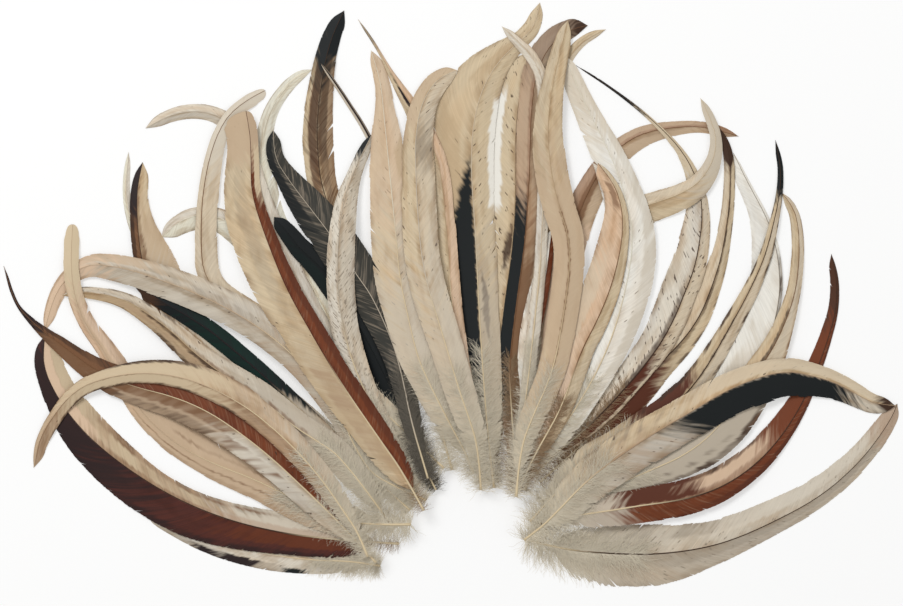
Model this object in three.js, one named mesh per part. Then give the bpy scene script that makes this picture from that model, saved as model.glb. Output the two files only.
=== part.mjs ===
// Strung rooster tail feathers: a fan of tail feathers that lies flat in a horseshoe, quills together and
// tips outwards. Millimetres, +Z up, +X along the fan's span, +Y from the quills to the middle tips; the
// surface that they lie on is z = 0.
import * as THREE from "three";

// Driving dimensions
const FAN_CENTRE = new THREE.Vector2(225.69, 155.435); // middle of the fan's box, in the layout's own x and y
const FIELD = new THREE.Vector2(470, 330); // layout area that holds every feather
const QUILL_HALF_WIDTH = 1.05; // bare quill at its cut end
const QUILL_HEIGHT = 1.9;
const SHAFT_TIP_HALF_WIDTH = 0.25;
const SHAFT_TIP_HEIGHT = 0.55;
const BARE_END = 0.02; // share of the length that is bare quill
const DOWN_END = 0.1; // share where the downy base has opened to its full width
const DOWN_SHARE = 0.75; // width of the downy base, as a share of the lower vane's width
const WIDTH_SHARES = [0.25, 0.5, 0.75, 0.9]; // the tip is rounded off after the last of these
const BLUNT_TIP_START = 0.96; // share where a blunt tip starts to be rounded off
const TIP_CROWDING = 1.25; // cross-sections lie closer together towards the tip
const CAMBER = 0.09; // how far a vane's edge droops, per millimetre of its width
const SHAFT_TOP_SHARE = 0.6; // flat top of the shaft, as a share of its width
const QUILL_EDGE_RISE = 0.5; // height of the bare quill's widest line, as a share of its own height

// How feathers lie on each other
const STATIONS = 22; // cross-sections along one feather, the tip point included
const CELL = 0.5; // cell of the height map of what already lies there
const GAP = 0.32; // air left between a feather and what it rests on
const SAG = 0.05; // how far a feather settles in one round
const EASING = 0.5; // share of its bend that a feather gives up in one round
const ROUNDS = 260;
const LAST_ROUNDS = 8; // rounds at the end that only lift, so that nothing is left inside anything
const SETTLED = 0.08; // a station this near the surface lies on it

// Layout of the fan, lowest feather first, in an x and y of its own that FAN_CENTRE is taken from. A spine
// runs from the cut quill to the tip. left and right are the widths of the two vanes, seen from the quill,
// at the four shares of the length in WIDTH_SHARES.
const FEATHERS = [
  {
    name: "pale_leaf_feather",
    tint: "ivory",
    spine: [[207, 62], [190, 92], [168, 125], [145, 158], [125, 182], [110, 194], [97, 195], [88, 191],
      [80.5, 184.5]],
    left: [4, 5, 7.5, 7],
    right: [4, 5, 5, 4.5],
  },
  {
    name: "pale_thin_feather",
    tint: "ivory",
    spine: [[203, 50], [170, 82], [135, 112], [100, 142], [78, 168], [67, 188], [63, 206], [64, 227]],
    left: [4, 4, 2.8, 2],
    right: [4, 4, 2.8, 2],
  },
  {
    name: "pale_arch_feather",
    tint: "ivory",
    spine: [[210, 60], [195, 88], [175, 125], [153, 165], [138, 190], [132, 212], [131, 230],
      [134, 245], [141, 257], [149, 265], [156, 268.5]],
    left: [6, 6, 4, 3.2],
    right: [6, 6, 6, 3.6],
  },
  {
    name: "grey_sickle_feather",
    tint: "ash",
    spine: [[208, 56], [190, 88], [168, 125], [147, 165], [132, 200], [124, 224], [118, 238],
      [108, 245.5], [96, 247.5], [84, 245], [72.5, 239]],
    left: [5, 5.5, 4.8, 3.8],
    right: [5, 5.5, 4.8, 3.8],
  },
  {
    name: "black_tipped_spear_feather",
    tint: "umber",
    spine: [[216, 60], [208, 85], [195, 120], [180, 155], [168, 190], [161, 210], [159, 225],
      [158.5, 240], [160, 256], [162.5, 272], [166.5, 286], [172, 298]],
    left: [5, 6, 7.5, 5.5],
    right: [5, 6, 8, 5],
  },
  {
    name: "white_under_feather",
    tint: "ivory",
    liesFlat: true,
    spine: [[190, 20], [175, 22], [155, 23], [135, 25.5], [112, 30.5], [92, 37.5], [74, 46]],
    left: [7, 8, 6.5, 4.5],
    right: [6, 7, 6, 4],
  },
  {
    name: "pale_sweep_feather",
    tint: "ash",
    liesFlat: true,
    spine: [[264, 33], [282, 28.5], [300, 26.5], [330, 26], [360, 31], [390, 43.5], [413, 57], [432, 74.5],
      [446, 94], [449, 101]],
    left: [15, 12, 9, 6.5],
    right: [17, 8, 5.5, 4.5],
  },
  {
    name: "tan_tip_feather",
    tint: "tan",
    spine: [[257, 66], [264, 100], [270, 140], [274, 180], [276, 215], [277, 240], [279, 258],
      [284, 273], [292, 282.5], [303, 288.5]],
    left: [4, 4.5, 4, 3.2],
    right: [4, 4.5, 3, 2.2],
  },
  {
    name: "brown_tan_sickle_feather",
    tint: "brown",
    spine: [[259, 62], [268, 92], [276, 125], [281, 155], [285, 178], [290, 197], [298, 214],
      [308, 227.5], [320, 235.5], [335, 239], [352, 239.5], [369.5, 235]],
    left: [6, 8, 4.5, 3],
    right: [6, 8, 7.5, 3],
  },
  {
    name: "white_right_feather",
    tint: "ivory",
    spine: [[270, 52], [295, 62], [320, 72], [345, 87], [365, 104], [380, 123], [386.5, 139],
      [390, 160], [387, 184], [381, 199], [374, 212], [367, 226.5]],
    left: [10, 18, 14, 6],
    right: [2, 1.6, 1.6, 1.2],
  },
  {
    name: "brown_edged_blade_feather",
    tint: "tan",
    spine: [[207, 51], [180, 68], [150, 92], [120, 115], [95, 135], [80, 147], [74.5, 158],
      [71.5, 170], [69.5, 182], [68.5, 195], [68.5, 208], [71, 222]],
    left: [5, 5, 4.5, 3.6],
    right: [7, 10, 18, 6],
  },
  {
    name: "green_black_feather",
    tint: "black",
    spine: [[205, 48], [185, 66], [165, 84], [148, 100], [133, 114], [118, 127], [105, 137.5],
      [92, 146], [80, 153], [66, 164]],
    left: [4, 5, 5, 4],
    right: [4, 5, 5, 4],
  },
  {
    name: "black_feather",
    tint: "black",
    spine: [[218, 58], [208, 78], [197, 105], [185, 130], [172, 153], [160, 169.5], [150, 179],
      [144, 186.5], [137, 194.5]],
    left: [6, 7, 7, 5],
    right: [6, 7, 7, 5],
  },
  {
    name: "mahogany_sickle_feather",
    tint: "mahogany",
    spine: [[199.5, 31], [172, 33], [145, 36], [115, 43], [88, 54], [62, 70], [42, 87], [29, 104],
      [22, 120], [22, 135]],
    left: [11, 16.5, 12, 5.5],
    right: [10, 7.5, 11.5, 10.5],
  },
  {
    name: "dark_tipped_feather",
    tint: "cream",
    spine: [[270, 62], [285, 75], [300, 89.5], [316, 105], [328, 119], [341, 132.5], [349, 143.5],
      [355, 157], [360, 172], [363, 187], [365, 205], [364.5, 226], [360.5, 238.5]],
    left: [8, 9, 4.2, 3],
    right: [9, 6.5, 3.2, 2.4],
  },
  {
    name: "tan_arc_feather",
    tint: "tan",
    spine: [[268, 40], [285, 50], [305, 59.5], [328, 69], [345, 77.5], [357, 87.5], [367, 100],
      [378, 116], [387, 130], [393, 143], [397.5, 157], [399.5, 172], [399.5, 187], [397, 198.5],
      [391, 207]],
    left: [8, 8, 4.5, 3.6],
    right: [9, 14, 3.6, 2.4],
  },
  {
    name: "tan_strip_feather",
    tint: "tan",
    blunt: true,
    spine: [[222, 69], [208, 82], [192, 97], [172, 114], [150, 130], [128, 144], [112, 154],
      [104, 162], [101, 175], [101, 200], [103, 216], [107, 231], [113, 243.5], [122, 252],
      [132.5, 258]],
    left: [6, 5, 2.6, 2.6],
    right: [7, 7, 8, 4.5],
  },
  {
    name: "charcoal_striped_feather",
    tint: "charcoal",
    spine: [[214, 64], [206, 92], [201, 115], [197.5, 128], [192, 142], [185, 156], [176, 169],
      [166, 184.5], [157, 196.5], [146, 211], [138, 224], [136.5, 238]],
    left: [6, 10, 10, 5],
    right: [6, 11, 9.5, 4.5],
  },
  {
    name: "edge_on_feather",
    tint: "ash",
    spine: [[226, 68], [216, 105], [208, 140], [200, 180], [192, 213], [184, 235], [175, 250],
      [167, 262], [160, 272]],
    left: [2.5, 2, 1.6, 1.2],
    right: [2.5, 2, 1.6, 1.2],
  },
  {
    name: "wire_tipped_feather",
    tint: "cream",
    spine: [[268, 66], [280, 78], [292, 88], [304, 99.5], [316, 113], [327, 126.5], [336, 141.5],
      [343, 158], [348, 172], [350.5, 188], [351, 202], [348, 214], [342, 226], [324, 245], [300, 263],
      [288, 270.5]],
    left: [9, 12, 2.5, 0.7],
    right: [6, 6, 1.2, 0.6],
  },
  {
    name: "rust_right_feather",
    tint: "rust",
    spine: [[268, 38], [280, 44], [300, 47], [322, 50.5], [342, 53.5], [358, 58.5], [372, 66.5],
      [384, 77], [394, 89.5], [402, 103], [409, 119], [414, 133], [418, 148], [418.5, 162],
      [416, 176]],
    left: [9, 10, 5.5, 3.4],
    right: [9, 6, 2.6, 1.4],
  },
  {
    name: "grey_curled_feather",
    tint: "ash",
    spine: [[213, 53], [185, 68], [172, 92], [160, 110], [148, 124], [134, 136], [116, 147.5],
      [96, 157], [76, 164.5], [58, 169.5], [43, 170], [32, 162.5], [26, 151.5], [22, 137.5]],
    left: [6, 8, 8, 4.5],
    right: [7, 9, 7, 3.5],
  },
  {
    name: "dark_edged_tan_feather",
    tint: "tan",
    spine: [[265, 42], [290, 68], [308, 78], [325, 90], [340, 103], [351, 116], [359, 129], [367, 143],
      [375, 158], [382, 174], [386.5, 190], [389.5, 204], [390.5, 218], [388, 233]],
    left: [10, 6, 2.8, 1.6],
    right: [6, 6, 3.8, 1.6],
  },
  {
    name: "kinked_tan_feather",
    tint: "tan",
    spine: [[260, 62], [278, 100], [292, 135], [302, 165], [310, 187], [320, 199], [335, 204],
      [348, 211], [356, 222], [358, 233], [355, 244], [350.5, 254]],
    left: [6, 7, 5, 2.8],
    right: [6, 10.5, 8.5, 3],
  },
  {
    name: "speckled_tan_feather",
    tint: "tan",
    spine: [[247, 62], [247, 85], [248, 110], [252, 150], [256, 180], [257.5, 205], [257.5, 232],
      [259, 250], [262, 265], [266, 277]],
    left: [7, 9, 11, 9.5],
    right: [6, 7, 7, 5],
  },
  {
    name: "brown_arch_feather",
    tint: "brown",
    spine: [[258, 57], [257, 80], [255.5, 103], [255, 120], [257, 140], [259.5, 160], [262, 178],
      [264.5, 212], [266, 250], [269, 268], [276, 281], [285, 288], [294, 290.5]],
    left: [6, 6, 7, 7.5],
    right: [6, 7, 7, 5],
  },
  {
    name: "salt_and_pepper_feather",
    tint: "cream",
    spine: [[207, 58], [195, 82], [184, 104], [177, 121], [172, 138], [169, 163], [170, 190],
      [173, 206], [179, 222], [186, 236]],
    left: [6, 6, 5, 3],
    right: [6, 8, 8, 4],
  },
  {
    name: "pale_speckled_feather",
    tint: "ivory",
    spine: [[262, 58], [268, 72], [283, 92], [296, 113], [306, 135], [313, 160], [316, 180],
      [315, 195], [311, 210], [305, 226], [298, 240], [290, 257], [282, 276]],
    left: [8, 13, 10, 6.5],
    right: [8, 13, 7.5, 4.5],
  },
  {
    name: "black_vaned_tan_feather",
    tint: "tan",
    spine: [[247, 59], [244, 85], [241, 125], [239.5, 150], [237.5, 190], [236, 212], [236, 232],
      [238, 247], [243, 262], [251, 274], [260, 282.5], [267, 290.5], [270, 302]],
    left: [9, 14, 19, 5],
    right: [9, 10, 10, 4],
  },
  {
    name: "broad_tan_feather",
    tint: "tan",
    spine: [[237, 66], [232, 78], [224, 93], [217, 107], [210, 122], [204, 145], [200, 165],
      [198, 185], [194, 225], [192, 245], [190, 262], [185.5, 278]],
    left: [9, 13, 9.5, 3],
    right: [9, 12, 9, 5],
  },
  {
    name: "thin_tipped_tan_feather",
    tint: "tan",
    spine: [[242, 62], [232, 110], [226, 150], [223, 190], [219, 222], [213, 237], [206, 250],
      [197, 264], [188, 280], [179, 293.5]],
    left: [6, 7, 5.5, 0.9],
    right: [5, 5, 4, 0.8],
  },
  {
    name: "white_and_rust_feather",
    tint: "ivory",
    spine: [[257, 62], [260, 75], [264, 95], [266, 108], [265.5, 120], [267, 135], [270, 150],
      [273, 165], [276, 188]],
    left: [5, 7, 7, 4.5],
    right: [3, 3, 3, 2],
  },
  {
    name: "peach_feather",
    tint: "peach",
    spine: [[260, 60], [267, 75], [280, 99], [291, 128], [298, 142], [304, 156], [308.5, 171],
      [311, 186], [310.5, 199], [307, 210], [299, 221.5]],
    left: [9, 14, 12, 6.5],
    right: [6, 6, 4, 2.4],
  },
  {
    name: "pale_long_feather",
    tint: "cream",
    spine: [[197, 38.5], [180, 62], [167, 77], [150, 88], [130, 104], [110, 117], [97, 127], [85, 138],
      [72, 147.5], [62, 153], [50, 156], [40, 156.8], [31, 155.3]],
    left: [8, 9, 6, 3.4],
    right: [8, 8, 5, 3.4],
  },
  {
    name: "rust_and_tan_feather",
    tint: "rust",
    blunt: true,
    spine: [[212, 48], [200, 69], [190, 83.5], [170, 113], [150, 147], [143, 160], [130, 193],
      [126, 208], [125.5, 222], [125, 235], [123, 247.5]],
    left: [11, 15, 17, 12],
    right: [7.5, 7, 5, 4],
  },
  {
    name: "peach_strip_feather",
    tint: "peach",
    blunt: true,
    spine: [[205.5, 41], [190, 41], [172, 43], [150, 52], [130, 62], [112, 69], [95, 77], [82, 86],
      [70, 98], [60, 113], [52, 127], [45, 137], [40, 147], [36.5, 160], [35.5, 175], [36, 191]],
    left: [10, 6.5, 3.4, 4],
    right: [10, 13, 6, 3.8],
  },
  {
    name: "cream_strip_feather",
    tint: "cream",
    spine: [[258, 70], [263, 105], [267, 140], [270, 170], [272, 215], [272, 245], [271, 262],
      [267, 273], [259, 282], [251, 290]],
    left: [3.5, 3, 3.4, 3],
    right: [3.5, 3, 3.4, 3],
  },
  {
    name: "dark_shafted_tan_feather",
    tint: "tan",
    spine: [[258, 55], [261, 80], [268, 99], [275, 115], [279, 131], [282, 148], [284.5, 168],
      [284, 184], [280, 198], [276, 215], [274, 235], [275, 252], [278, 268], [284, 293]],
    left: [7, 8, 8, 5],
    right: [7, 8, 8, 5],
  },
  {
    name: "grey_arch_feather",
    tint: "ash",
    spine: [[240.5, 58], [238, 82], [230, 107], [220, 140], [214, 160], [211, 175], [209, 195],
      [208, 215], [208, 235], [212, 253], [220, 264], [229, 268]],
    left: [8, 9, 7, 5.5],
    right: [8, 9, 9.5, 7],
  },
  {
    name: "rust_wire_tipped_feather",
    tint: "rust",
    spine: [[188, 22], [172, 39.5], [150, 61], [130, 79], [105, 96.5], [88, 104], [70, 109],
      [57, 113.5], [45, 120], [30, 131], [19.5, 139], [8.5, 150.5], [1.5, 170]],
    left: [9, 11, 6, 0.9],
    right: [9, 11, 5, 0.9],
  },
  {
    name: "cream_sickle_feather",
    tint: "cream",
    spine: [[184, 25], [178, 38.5], [170, 50.5], [162, 62], [152, 74], [140, 86], [126, 97.5],
      [110, 107], [95, 113], [80, 116], [65, 116], [50, 113], [38, 107.5], [28, 97], [20, 84],
      [16.5, 69]],
    left: [6, 6, 4.5, 5],
    right: [7, 9, 4.5, 2],
  },
  {
    name: "cream_and_black_feather",
    tint: "cream",
    spine: [[262, 33], [272, 41], [295, 64], [320, 82], [345, 97], [365, 108.5], [385, 115.8],
      [395, 117], [415, 112.5], [425, 108], [436, 102], [448, 100]],
    left: [10, 9, 7, 5],
    right: [12, 13, 12.5, 6.5],
  },
];

const TINTS = {
  ivory: 0xe4dccb,
  cream: 0xd6c4a8,
  tan: 0xc8ae8a,
  peach: 0xd8be9f,
  ash: 0xbfb4a4,
  brown: 0x8c6a4c,
  rust: 0x8a5236,
  umber: 0x6b5440,
  mahogany: 0x5c2f2c,
  charcoal: 0x4a4846,
  black: 0x26292b,
};

// Height of what already lies on the surface, cell by cell, in layout coordinates.
class HeightMap {
  constructor(field, cell) {
    this.cell = cell;
    this.columns = Math.ceil(field.x / cell);
    this.rows = Math.ceil(field.y / cell);
    this.heights = new Float32Array(this.columns * this.rows);
  }

  column(x) {
    return THREE.MathUtils.clamp(Math.floor(x / this.cell), 1, this.columns - 2);
  }

  row(y) {
    return THREE.MathUtils.clamp(Math.floor(y / this.cell), 1, this.rows - 2);
  }

  at(x, y) {
    return this.heights[this.row(y) * this.columns + this.column(x)];
  }

  // Raises the cell at x, y and the eight around it.
  raise(x, y, height) {
    const column = this.column(x);
    const row = this.row(y);
    for (let r = row - 1; r <= row + 1; r++) {
      for (let c = column - 1; c <= column + 1; c++) {
        const cell = r * this.columns + c;
        this.heights[cell] = Math.max(this.heights[cell], height);
      }
    }
  }
}

// Width of one vane at a share t of the length: bare quill, downy base, vane, then an elliptic tip.
function vaneWidth(t, widths, blunt) {
  const shares = [0, BARE_END, DOWN_END, ...WIDTH_SHARES];
  const values = [QUILL_HALF_WIDTH, QUILL_HALF_WIDTH, DOWN_SHARE * widths[0], ...widths];
  const curve = new THREE.CubicInterpolant(shares, values, 1);
  const tipStart = blunt ? BLUNT_TIP_START : WIDTH_SHARES.at(-1);
  const intoTip = Math.max((t - tipStart) / (1 - tipStart), 0);
  const width = curve.evaluate(Math.min(t, tipStart))[0] * Math.sqrt(1 - intoTip ** 2);
  return Math.max(width, shaftHalfWidth(t));
}

function shaftHalfWidth(t) {
  return THREE.MathUtils.lerp(QUILL_HALF_WIDTH, SHAFT_TIP_HALF_WIDTH, Math.sqrt(t));
}

function shaftHeight(t) {
  return THREE.MathUtils.lerp(QUILL_HEIGHT, SHAFT_TIP_HEIGHT, Math.sqrt(t));
}

// The cross-sections of one feather in plan, from the cut quill to just before the tip point.
function crossSections(feather) {
  const points = feather.spine.map(([x, y]) => new THREE.Vector3(x, y, 0));
  const curve = new THREE.CatmullRomCurve3(points, false, "centripetal");
  const camber = feather.liesFlat ? 0 : CAMBER;
  return Array.from({ length: STATIONS }, (_, k) => {
    const t = 1 - (1 - k / (STATIONS - 1)) ** TIP_CROWDING;
    const tangent = curve.getTangentAt(t);
    const left = vaneWidth(t, feather.left, feather.blunt);
    const right = vaneWidth(t, feather.right, feather.blunt);
    const height = shaftHeight(t);
    const bare = 1 - THREE.MathUtils.smoothstep(t, BARE_END, DOWN_END);
    const rise = QUILL_EDGE_RISE * bare * height;
    return {
      centre: curve.getPointAt(t),
      across: new THREE.Vector3(-tangent.y, tangent.x, 0),
      left,
      right,
      height,
      shaft: SHAFT_TOP_SHARE * shaftHalfWidth(t),
      leftRise: rise - (1 - bare) * camber * left,
      rightRise: rise - (1 - bare) * camber * right,
    };
  });
}

// Calls visit(share, side, x, y, section) all over the stretch between two neighbouring cross-sections. side
// runs from -1 at the right edge to 1 at the left edge, and section holds the sizes at that place.
function sweepStretch(from, to, visit) {
  const steps = Math.ceil((2 * from.centre.distanceTo(to.centre)) / CELL);
  for (let i = 0; i <= steps; i++) {
    const share = i / steps;
    const mix = (key) => THREE.MathUtils.lerp(from[key], to[key], share);
    const section = {};
    for (const key of ["left", "right", "height", "shaft", "leftRise", "rightRise"]) {
      section[key] = mix(key);
    }
    const centre = from.centre.clone().lerp(to.centre, share);
    const across = from.across.clone().lerp(to.across, share);
    const sides = Math.ceil((2 * Math.max(section.left, section.right)) / CELL) + 1;
    for (let j = -sides; j <= sides; j++) {
      const side = j / sides;
      const reach = side > 0 ? side * section.left : side * section.right;
      visit(share, side, centre.x + across.x * reach, centre.y + across.y * reach, section);
    }
  }
}

function undersideAt(side, section) {
  return side > 0 ? side * section.leftRise : -side * section.rightRise;
}

function topAt(side, section) {
  const reach = side > 0 ? side * section.left : -side * section.right;
  const edge = side > 0 ? section.left : section.right;
  const rise = side > 0 ? section.leftRise : section.rightRise;
  const slope = THREE.MathUtils.clamp((reach - section.shaft) / Math.max(edge - section.shaft, CELL), 0, 1);
  return THREE.MathUtils.lerp(section.height, rise, slope);
}

// Heights of a feather's underside at its cross-sections, once it has settled on what lies there.
function settle(sections, map) {
  const holds = [];
  for (let k = 0; k + 1 < sections.length; k++) {
    const needs = new Map();
    sweepStretch(sections[k], sections[k + 1], (share, side, x, y, section) => {
      const below = map.at(x, y);
      const need = (below > 0 ? below + GAP : 0) - undersideAt(side, section);
      needs.set(share, Math.max(needs.get(share) ?? 0, need));
    });
    for (const [share, need] of needs) {
      holds.push({ k, share, need });
    }
  }
  const heights = new Array(sections.length).fill(Math.max(...holds.map((hold) => hold.need)));
  const last = heights.length - 1;
  const pushUp = () => {
    for (const { k, share, need } of holds) {
      const short = need - THREE.MathUtils.lerp(heights[k], heights[k + 1], share);
      if (short > 0) {
        const weight = (1 - share) ** 2 + share ** 2;
        heights[k] += (short * (1 - share)) / weight;
        heights[k + 1] += (short * share) / weight;
      }
    }
  };
  for (let round = 0; round < ROUNDS; round++) {
    const before = heights.slice();
    for (let k = 0; k <= last; k++) {
      const middle = THREE.MathUtils.clamp(k, 1, last - 1);
      const bend = (before[middle - 1] + before[middle + 1]) / 2 - before[middle];
      const turn = k === middle ? bend : -bend;
      heights[k] = before[k] + EASING * turn - SAG;
    }
    pushUp();
    pushUp();
  }
  for (let round = 0; round < LAST_ROUNDS; round++) {
    pushUp();
  }
  return heights.map((height, k) => {
    const lowest = Math.max(0, -sections[k].leftRise, -sections[k].rightRise);
    return height < lowest + SETTLED ? lowest : height;
  });
}

function layOn(map, sections, heights) {
  for (let k = 0; k + 1 < sections.length; k++) {
    sweepStretch(sections[k], sections[k + 1], (share, side, x, y, section) => {
      const underside = THREE.MathUtils.lerp(heights[k], heights[k + 1], share);
      map.raise(x, y, underside + topAt(side, section));
    });
  }
}

// Closed solid of one feather: five-sided rings, left edge, shaft top left and right, right edge, underside,
// with a flat cut at the quill and a point at the tip.
function featherGeometry(sections, heights) {
  const corners = [];
  const rings = sections.length - 1;
  const put = (section, reach, z) => {
    const { centre, across } = section;
    corners.push(centre.x + across.x * reach - FAN_CENTRE.x, centre.y + across.y * reach - FAN_CENTRE.y, z);
  };
  for (let k = 0; k < rings; k++) {
    const section = sections[k];
    const z = heights[k];
    put(section, section.left, z + section.leftRise);
    put(section, section.shaft, z + section.height);
    put(section, -section.shaft, z + section.height);
    put(section, -section.right, z + section.rightRise);
    put(section, 0, z);
  }
  const tip = sections[rings];
  put(tip, 0, heights[rings] + tip.height / 2);

  const sides = 5;
  const apex = rings * sides;
  const faces = [];
  for (let k = 0; k + 1 < rings; k++) {
    for (let j = 0; j < sides; j++) {
      const a = k * sides + j;
      const b = k * sides + ((j + 1) % sides);
      faces.push(a, b, b + sides, a, b + sides, a + sides);
    }
  }
  for (let j = 0; j < sides; j++) {
    faces.push(apex - sides + j, apex - sides + ((j + 1) % sides), apex);
  }
  faces.push(0, 4, 1, 1, 4, 2, 2, 4, 3);

  const geometry = new THREE.BufferGeometry();
  geometry.setAttribute("position", new THREE.Float32BufferAttribute(corners, 3));
  geometry.setIndex(faces);
  geometry.computeVertexNormals();
  return geometry;
}

const fan = new THREE.Group();
fan.name = "strung_rooster_tail_feathers";
const pile = new HeightMap(FIELD, CELL);
for (const feather of FEATHERS) {
  const sections = crossSections(feather);
  const heights = settle(sections, pile);
  layOn(pile, sections, heights);
  const finish = new THREE.MeshStandardMaterial({ color: TINTS[feather.tint], roughness: 0.6, metalness: 0 });
  const mesh = new THREE.Mesh(featherGeometry(sections, heights), finish);
  mesh.name = feather.name;
  fan.add(mesh);
}

export default fan;
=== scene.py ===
import math
from dataclasses import dataclass, field

import bpy
import numpy as np
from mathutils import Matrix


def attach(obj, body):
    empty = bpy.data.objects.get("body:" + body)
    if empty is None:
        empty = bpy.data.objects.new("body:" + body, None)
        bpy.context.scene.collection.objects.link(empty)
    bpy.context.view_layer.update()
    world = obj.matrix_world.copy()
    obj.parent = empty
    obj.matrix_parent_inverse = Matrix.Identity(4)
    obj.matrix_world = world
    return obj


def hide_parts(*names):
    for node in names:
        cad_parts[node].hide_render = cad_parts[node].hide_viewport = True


# Fan of rooster tail feathers. Each feather's solid gives the lines that its shaft, barbs and down follow.
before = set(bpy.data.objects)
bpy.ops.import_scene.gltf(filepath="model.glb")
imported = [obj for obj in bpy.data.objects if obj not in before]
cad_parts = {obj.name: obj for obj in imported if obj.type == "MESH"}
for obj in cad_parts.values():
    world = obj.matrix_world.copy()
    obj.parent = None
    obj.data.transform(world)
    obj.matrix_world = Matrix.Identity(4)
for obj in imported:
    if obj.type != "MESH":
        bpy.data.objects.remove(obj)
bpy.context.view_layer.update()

MM = 0.001
QUILL_CENTRE = np.array([5.3, -127.4]) * MM  # where the quills gather
RING_SPAN = 3.5 * MM  # no ring at the cut quill is wider than this
MERGE_DIGITS = 6  # corners that agree to this many decimals of a metre are one

# Sides of a feather, seen from its quill
LEFT = 1
BOTH = 0
RIGHT = -1

# Kinds of part, which the finish tells apart
VANE_KIND = 0
SHAFT_KIND = 1
DOWN_KIND = 2

# Barbs
BARB_SPACING = 0.7 * MM
BARB_STEPS = 7
BARB_LAP = 1.6  # width of a barb's ribbon, in spacings
BARB_TAPER = 0.35  # part of that width lost at the barb's end
LOOSE_TAPER = 0.25  # part of it that loose barbs lose
VANE_START = 0.055  # share of the length where the first barb grows
VANE_END = 0.997
BASE_ANGLE = 46.0  # degrees between barb and shaft
TIP_ANGLE = 27.0
BARB_BEND = 1.18
FLANK = 0.62  # height on the shaft where barbs grow
ARCH = 0.25
BARB_TILT = 0.03 * MM
BARB_LOWEST = 0.04 * MM
BACKWARDS = -0.01  # furthest that a barb leans back, as a share of the length
TIP_ROOM = 0.004  # least share of the length that a barb has left to the tip
LOOSE_END = 0.18  # share of the length below which barbs hang loose

# Clumps of barbs that cling together
CLUMP_BARBS = (6, 28)  # fewest barbs, and one more than the most
CLUMP_LIFT = 0.08 * MM
CLUMP_DRIFT = 0.25 * MM
LOOSE_DRIFT = 7  # how much further loose clumps drift
TORN = 0.02  # share of the clumps that have come apart from the next
TORN_SPLIT = (0.1, 0.7)  # part of the width after which a torn clump draws in
WHOLE_SPLIT = 0.8
LOOSE_SPLIT = 0.6
TORN_PINCH = (0.2, 0.5)  # how far a torn clump draws in to its middle
WHOLE_PINCH = 0.05
LOOSE_PINCH = 0.35
DRAW_POWER = 1.5
RAGGED_BARB = 0.02  # largest part of the width that a barb falls short by
RAGGED_CLUMP = 0.07
RAGGED_LOOSE = 0.2

# Shaft
SHAFT_SIDES = 8
SHAFT_STEPS = 60
SHAFT_CROWDING = 1.1  # power that sets its rings closer at the quill
QUILL_RADIUS = 0.75 * MM
SHAFT_TIP_RADIUS = 0.12 * MM
SHAFT_TAPER = 0.34  # power of the share of the length
SHAFT_FLATTEST = 0.1 * MM

# Down
DOWN_TO = 0.27  # share of the length where the last of it grows
DOWN_COUNT = 460  # filaments on each side
DOWN_STEPS = 6
DOWN_WIDTH = 0.16 * MM
DOWN_TAPER = 0.65  # part of the width lost at a filament's end
DOWN_SHORTEST = 8.0 * MM
DOWN_LONGEST = 19.0 * MM
DOWN_SPREAD = 1.5  # length of the filaments, in widths of the vane above them
DOWN_SIZES = (0.45, 1.05)  # range of that length
DOWN_BUTT = 0.7  # part of that length at the cut quill
DOWN_CROWDING = 1.2  # power that sets the roots closer at the quill
DOWN_SPARSE = 0.6  # power of the amount that keeps sparse down near the quill
DOWN_ANGLE = 95  # degrees between filament and shaft at the quill
DOWN_LEAN = 55  # degrees by which the last filaments lean further forwards
DOWN_SCATTER = 16
DOWN_BEND = (-10, 30)  # degrees, mean and scatter
DOWN_WAVE = (5, 30)  # degrees
DOWN_PACE = (0.6, 1.8)  # waves on a filament
DOWN_PUFF = 1.3 * MM
DOWN_PUFFS = (-0.2, 1.0)  # range of the puff
DOWN_LIFT = 0.15 * MM
DOWN_LOWEST = 0.06 * MM

# Bands of a feather's map, each with its first row and its height
VANE_ROW = {LEFT: 0.36, RIGHT: 0.02}
VANE_ROWS = 0.3
SHAFT_ROW = 0.7
SHAFT_ROWS = 0.06
DOWN_ROW = {LEFT: 0.79, RIGHT: 0.9}
DOWN_ROWS = 0.09
COLUMN_EDGES = np.array([-0.42, 0.42])  # edges of a ribbon on the map, in columns from the middle of its own

# Noise on a feather: cells over the length, cells over a vane's width, detail
FRAY_NOISE = (90.0, 0.9, 2.0)
CLOUD_NOISE = (11.0, 1.8, 4.0)
DRIFT_NOISE = (4.3, 0.9, 1.0)
BLOT_NOISE = (34.0, 0.5, 2.0)
GRAIN_NOISE = (260.0, 2.5, 2.0)
STREAK_NOISE = (300.0, 0.8, 2.5)
SPECK_NOISE = (200.0, 4.2, 0.5)
SIDE_STEP = 3.7  # sets the noise of the two vanes apart

# Stains that mottle a vane, as factors on its colour; at rims and roots they are partly painted shade
COOL_STAIN = (0.9, 0.92, 0.97, 1.0)
WARM_STAIN = (1.0, 0.9, 0.8, 1.0)
CLOUD_STAIN = (0.7, 0.62, 0.53, 1.0)
# darker rims: partly their own tint, partly painted shadow along the edges
RIM_STAIN_AND_SHADOW = (0.4, 0.3, 0.22, 1.0)
# darker roots: partly a real tint, partly painted shade beside the shaft
ROOT_STAIN_AND_SHADE = (0.62, 0.5, 0.38, 1.0)

# Markings
ROOT = -0.2  # across the vane, before its root, so that no soft limit shows there
EDGE = 1.3  # across the vane, past its edge
TIP = 1.1  # along the feather, past its tip
SIDEWAYS_SOFT = 0.07

FIRST_SEED = 100
NOISE_STEP = 11.0  # sets the noise of the feathers apart


def tone(red, green, blue):
    """Linear colour of a screen colour: each channel over 255, to the power 2.2."""
    return tuple((channel / 255) ** 2.2 for channel in (red, green, blue)) + (1.0,)


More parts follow.
